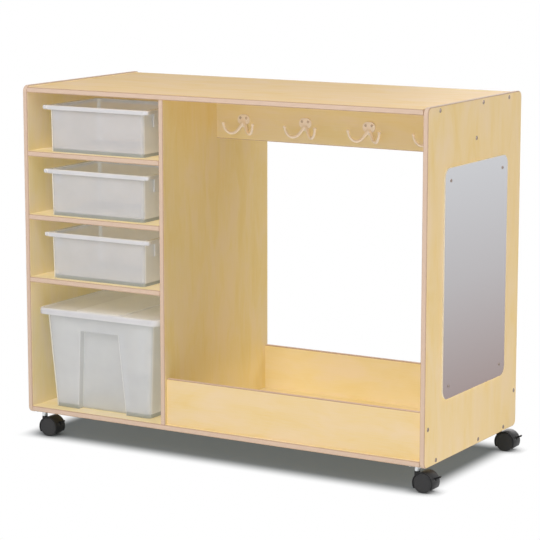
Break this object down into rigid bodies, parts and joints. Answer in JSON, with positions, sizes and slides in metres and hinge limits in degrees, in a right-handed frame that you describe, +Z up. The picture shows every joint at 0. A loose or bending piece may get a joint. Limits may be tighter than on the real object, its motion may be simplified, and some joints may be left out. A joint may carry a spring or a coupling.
{
  "type": "dress-up storage unit with mirror",
  "caption": "Wheeled plywood unit with sliding trays and a lidded tote on one side, an open hanging bay with double hooks on the other, and a mirror on its end.",
  "frame": {"origin": "on the floor, in the middle of the whole unit; the right-hand brake pedals stand 32 mm beyond the right side, so the cabinet itself is 16 mm to the left of the middle", "axes": "+X to the right along the unit's length, +Y from the open front to the back, +Z up"},
  "size_m": [1.253, 0.5462, 0.9652],
  "materials": {
    "birch_plywood": "clear satin lacquer on rotary-cut birch veneer, edges show the plies",
    "beech": "bare turned beech",
    "bolt_steel": "zinc-plated, satin",
    "zinc_steel": "bright zinc plating",
    "acrylic_mirror": "silvered acrylic sheet with a polished edge",
    "almond_paint": "gloss almond enamel on a casting",
    "tray_plastic": "natural translucent polypropylene, smooth",
    "tote_plastic": "natural translucent polypropylene, smooth",
    "black_nylon": "moulded nylon, fine matt grain"
  },
  "bodies": {
    "cabinet": {"left_side": "birch_plywood", "right_side": "birch_plywood", "top_panel": "birch_plywood", "bottom_panel": "birch_plywood", "divider": "birch_plywood", "bay_back": "birch_plywood", "shelf_1": "birch_plywood", "shelf_2": "birch_plywood", "shelf_3": "birch_plywood", "hook_rail": "birch_plywood", "front_low_board": "birch_plywood", "back_low_board": "birch_plywood", "left_bolts": "bolt_steel", "right_bolts": "bolt_steel", "barrel_nuts": "zinc_steel", "dowels": "beech", "mirror": "acrylic_mirror", "mirror_screws": "bolt_steel", "hook_1": "almond_paint", "hook_2": "almond_paint", "hook_3": "almond_paint", "hook_4": "almond_paint", "hook_screws": "almond_paint", "caster_screws": "zinc_steel", "caster_plate_fl": "zinc_steel", "caster_plate_fr": "zinc_steel", "caster_plate_bl": "zinc_steel", "caster_plate_br": "zinc_steel"},
    "tray_1": {"tray_1": "tray_plastic"},
    "tray_2": {"tray_2": "tray_plastic"},
    "tray_3": {"tray_3": "tray_plastic"},
    "tote": {"tote": "tote_plastic"},
    "tote_lid": {"tote_lid": "tote_plastic"},
    "caster_fl": {"caster_hood_fl": "black_nylon", "caster_axle_fl": "zinc_steel"},
    "wheel_front_fl": {"wheel_front_fl": "black_nylon"},
    "wheel_back_fl": {"wheel_back_fl": "black_nylon"},
    "pedal_fl": {"brake_pedal_fl": "black_nylon"},
    "caster_fr": {"caster_hood_fr": "black_nylon", "caster_axle_fr": "zinc_steel"},
    "wheel_front_fr": {"wheel_front_fr": "black_nylon"},
    "wheel_back_fr": {"wheel_back_fr": "black_nylon"},
    "pedal_fr": {"brake_pedal_fr": "black_nylon"},
    "caster_bl": {"caster_hood_bl": "black_nylon", "caster_axle_bl": "zinc_steel"},
    "wheel_front_bl": {"wheel_front_bl": "black_nylon"},
    "wheel_back_bl": {"wheel_back_bl": "black_nylon"},
    "pedal_bl": {"brake_pedal_bl": "black_nylon"},
    "caster_br": {"caster_hood_br": "black_nylon", "caster_axle_br": "zinc_steel"},
    "wheel_front_br": {"wheel_front_br": "black_nylon"},
    "wheel_back_br": {"wheel_back_br": "black_nylon"},
    "pedal_br": {"brake_pedal_br": "black_nylon"}
  },
  "joints": [
    {"name": "tray_1_slide", "type": "slide", "parent": "cabinet", "child": "tray_1", "axis": [0, -1, 0], "range_m": [0, 0.2]},
    {"name": "tray_2_slide", "type": "slide", "parent": "cabinet", "child": "tray_2", "axis": [0, -1, 0], "range_m": [0, 0.2]},
    {"name": "tray_3_slide", "type": "slide", "parent": "cabinet", "child": "tray_3", "axis": [0, -1, 0], "range_m": [0, 0.2]},
    {"name": "tote_slide", "type": "slide", "parent": "cabinet", "child": "tote", "axis": [0, -1, 0], "range_m": [0, 0.4]},
    {"name": "lid_lift", "type": "slide", "parent": "tote", "child": "tote_lid", "axis": [0, 0, 1], "range_m": [0, 0.05]},
    {"name": "swivel_fl", "type": "hinge", "parent": "cabinet", "child": "caster_fl", "pos_m": [-0.5916, -0.24305, 0.05], "axis": [0, 0, 1], "continuous": true},
    {"name": "roll_front_fl", "type": "hinge", "parent": "caster_fl", "child": "wheel_front_fl", "pos_m": [-0.5676, -0.24305, 0.025], "axis": [0, 1, 0], "continuous": true},
    {"name": "roll_back_fl", "type": "hinge", "parent": "caster_fl", "child": "wheel_back_fl", "pos_m": [-0.5676, -0.24305, 0.025], "axis": [0, 1, 0], "continuous": true},
    {"name": "brake_fl", "type": "hinge", "parent": "caster_fl", "child": "pedal_fl", "pos_m": [-0.5546, -0.24305, 0.031], "axis": [0, 1, 0], "range_deg": [0, 14]},
    {"name": "swivel_fr", "type": "hinge", "parent": "cabinet", "child": "caster_fr", "pos_m": [0.5596, -0.24305, 0.05], "axis": [0, 0, 1], "continuous": true},
    {"name": "roll_front_fr", "type": "hinge", "parent": "caster_fr", "child": "wheel_front_fr", "pos_m": [0.5836, -0.24305, 0.025], "axis": [0, 1, 0], "continuous": true},
    {"name": "roll_back_fr", "type": "hinge", "parent": "caster_fr", "child": "wheel_back_fr", "pos_m": [0.5836, -0.24305, 0.025], "axis": [0, 1, 0], "continuous": true},
    {"name": "brake_fr", "type": "hinge", "parent": "caster_fr", "child": "pedal_fr", "pos_m": [0.5966, -0.24305, 0.031], "axis": [0, 1, 0], "range_deg": [0, 14]},
    {"name": "swivel_bl", "type": "hinge", "parent": "cabinet", "child": "caster_bl", "pos_m": [-0.5916, 0.24305, 0.05], "axis": [0, 0, 1], "continuous": true},
    {"name": "roll_front_bl", "type": "hinge", "parent": "caster_bl", "child": "wheel_front_bl", "pos_m": [-0.5676, 0.24305, 0.025], "axis": [0, 1, 0], "continuous": true},
    {"name": "roll_back_bl", "type": "hinge", "parent": "caster_bl", "child": "wheel_back_bl", "pos_m": [-0.5676, 0.24305, 0.025], "axis": [0, 1, 0], "continuous": true},
    {"name": "brake_bl", "type": "hinge", "parent": "caster_bl", "child": "pedal_bl", "pos_m": [-0.5546, 0.24305, 0.031], "axis": [0, 1, 0], "range_deg": [0, 14]},
    {"name": "swivel_br", "type": "hinge", "parent": "cabinet", "child": "caster_br", "pos_m": [0.5596, 0.24305, 0.05], "axis": [0, 0, 1], "continuous": true},
    {"name": "roll_front_br", "type": "hinge", "parent": "caster_br", "child": "wheel_front_br", "pos_m": [0.5836, 0.24305, 0.025], "axis": [0, 1, 0], "continuous": true},
    {"name": "roll_back_br", "type": "hinge", "parent": "caster_br", "child": "wheel_back_br", "pos_m": [0.5836, 0.24305, 0.025], "axis": [0, 1, 0], "continuous": true},
    {"name": "brake_br", "type": "hinge", "parent": "caster_br", "child": "pedal_br", "pos_m": [0.5966, 0.24305, 0.031], "axis": [0, 1, 0], "range_deg": [0, 14]}
  ]
}
